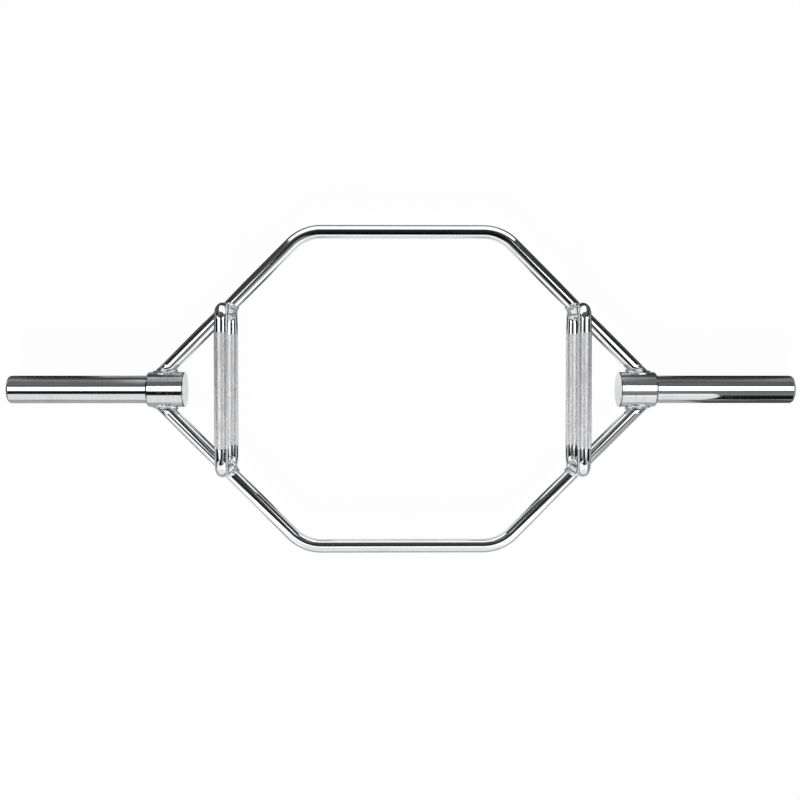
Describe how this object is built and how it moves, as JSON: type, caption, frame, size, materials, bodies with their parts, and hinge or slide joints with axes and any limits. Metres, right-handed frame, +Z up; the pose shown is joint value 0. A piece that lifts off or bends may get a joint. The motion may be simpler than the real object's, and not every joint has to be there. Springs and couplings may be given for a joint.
{
  "type": "hex trap bar",
  "caption": "Chromed hexagonal trap bar for deadlifts and carries, with plate sleeves at both ends and low and raised knurled grips.",
  "frame": {"origin": "on the ground under the middle of the bar, level with the lowest line of the collars", "axes": "+X along the sleeves to the right of the picture, +Y to the rear rail at the picture's top, +Z up to the raised grips"},
  "size_m": [1.42, 0.595, 0.1441],
  "materials": {
    "rail_chrome": "bright chrome plate on drawn bar",
    "grip_chrome": "chrome plate, diamond knurled along the grip",
    "sleeve_chrome": "polished chrome plate with fine scuffs round it",
    "collar_chrome": "chrome plate over turned and brushed steel",
    "weld_chrome": "chrome plate over a rippled weld bead"
  },
  "bodies": {
    "root": {"front_rail": "rail_chrome", "left_collar": "collar_chrome", "left_collar_cap": "collar_chrome", "left_front_collar_weld": "weld_chrome", "left_front_low_grip_weld": "weld_chrome", "left_front_raised_grip_weld": "weld_chrome", "left_low_grip": "grip_chrome", "left_raised_grip": "grip_chrome", "left_rear_collar_weld": "weld_chrome", "left_rear_low_grip_weld": "weld_chrome", "left_rear_raised_grip_weld": "weld_chrome", "left_sleeve": "sleeve_chrome", "left_sleeve_plug": "sleeve_chrome", "left_sleeve_root_weld": "weld_chrome", "rear_rail": "rail_chrome", "right_collar": "collar_chrome", "right_collar_cap": "collar_chrome", "right_front_collar_weld": "weld_chrome", "right_front_low_grip_weld": "weld_chrome", "right_front_raised_grip_weld": "weld_chrome", "right_low_grip": "grip_chrome", "right_raised_grip": "grip_chrome", "right_rear_collar_weld": "weld_chrome", "right_rear_low_grip_weld": "weld_chrome", "right_rear_raised_grip_weld": "weld_chrome", "right_sleeve": "sleeve_chrome", "right_sleeve_plug": "sleeve_chrome", "right_sleeve_root_weld": "weld_chrome"}
  },
  "joints": []
}
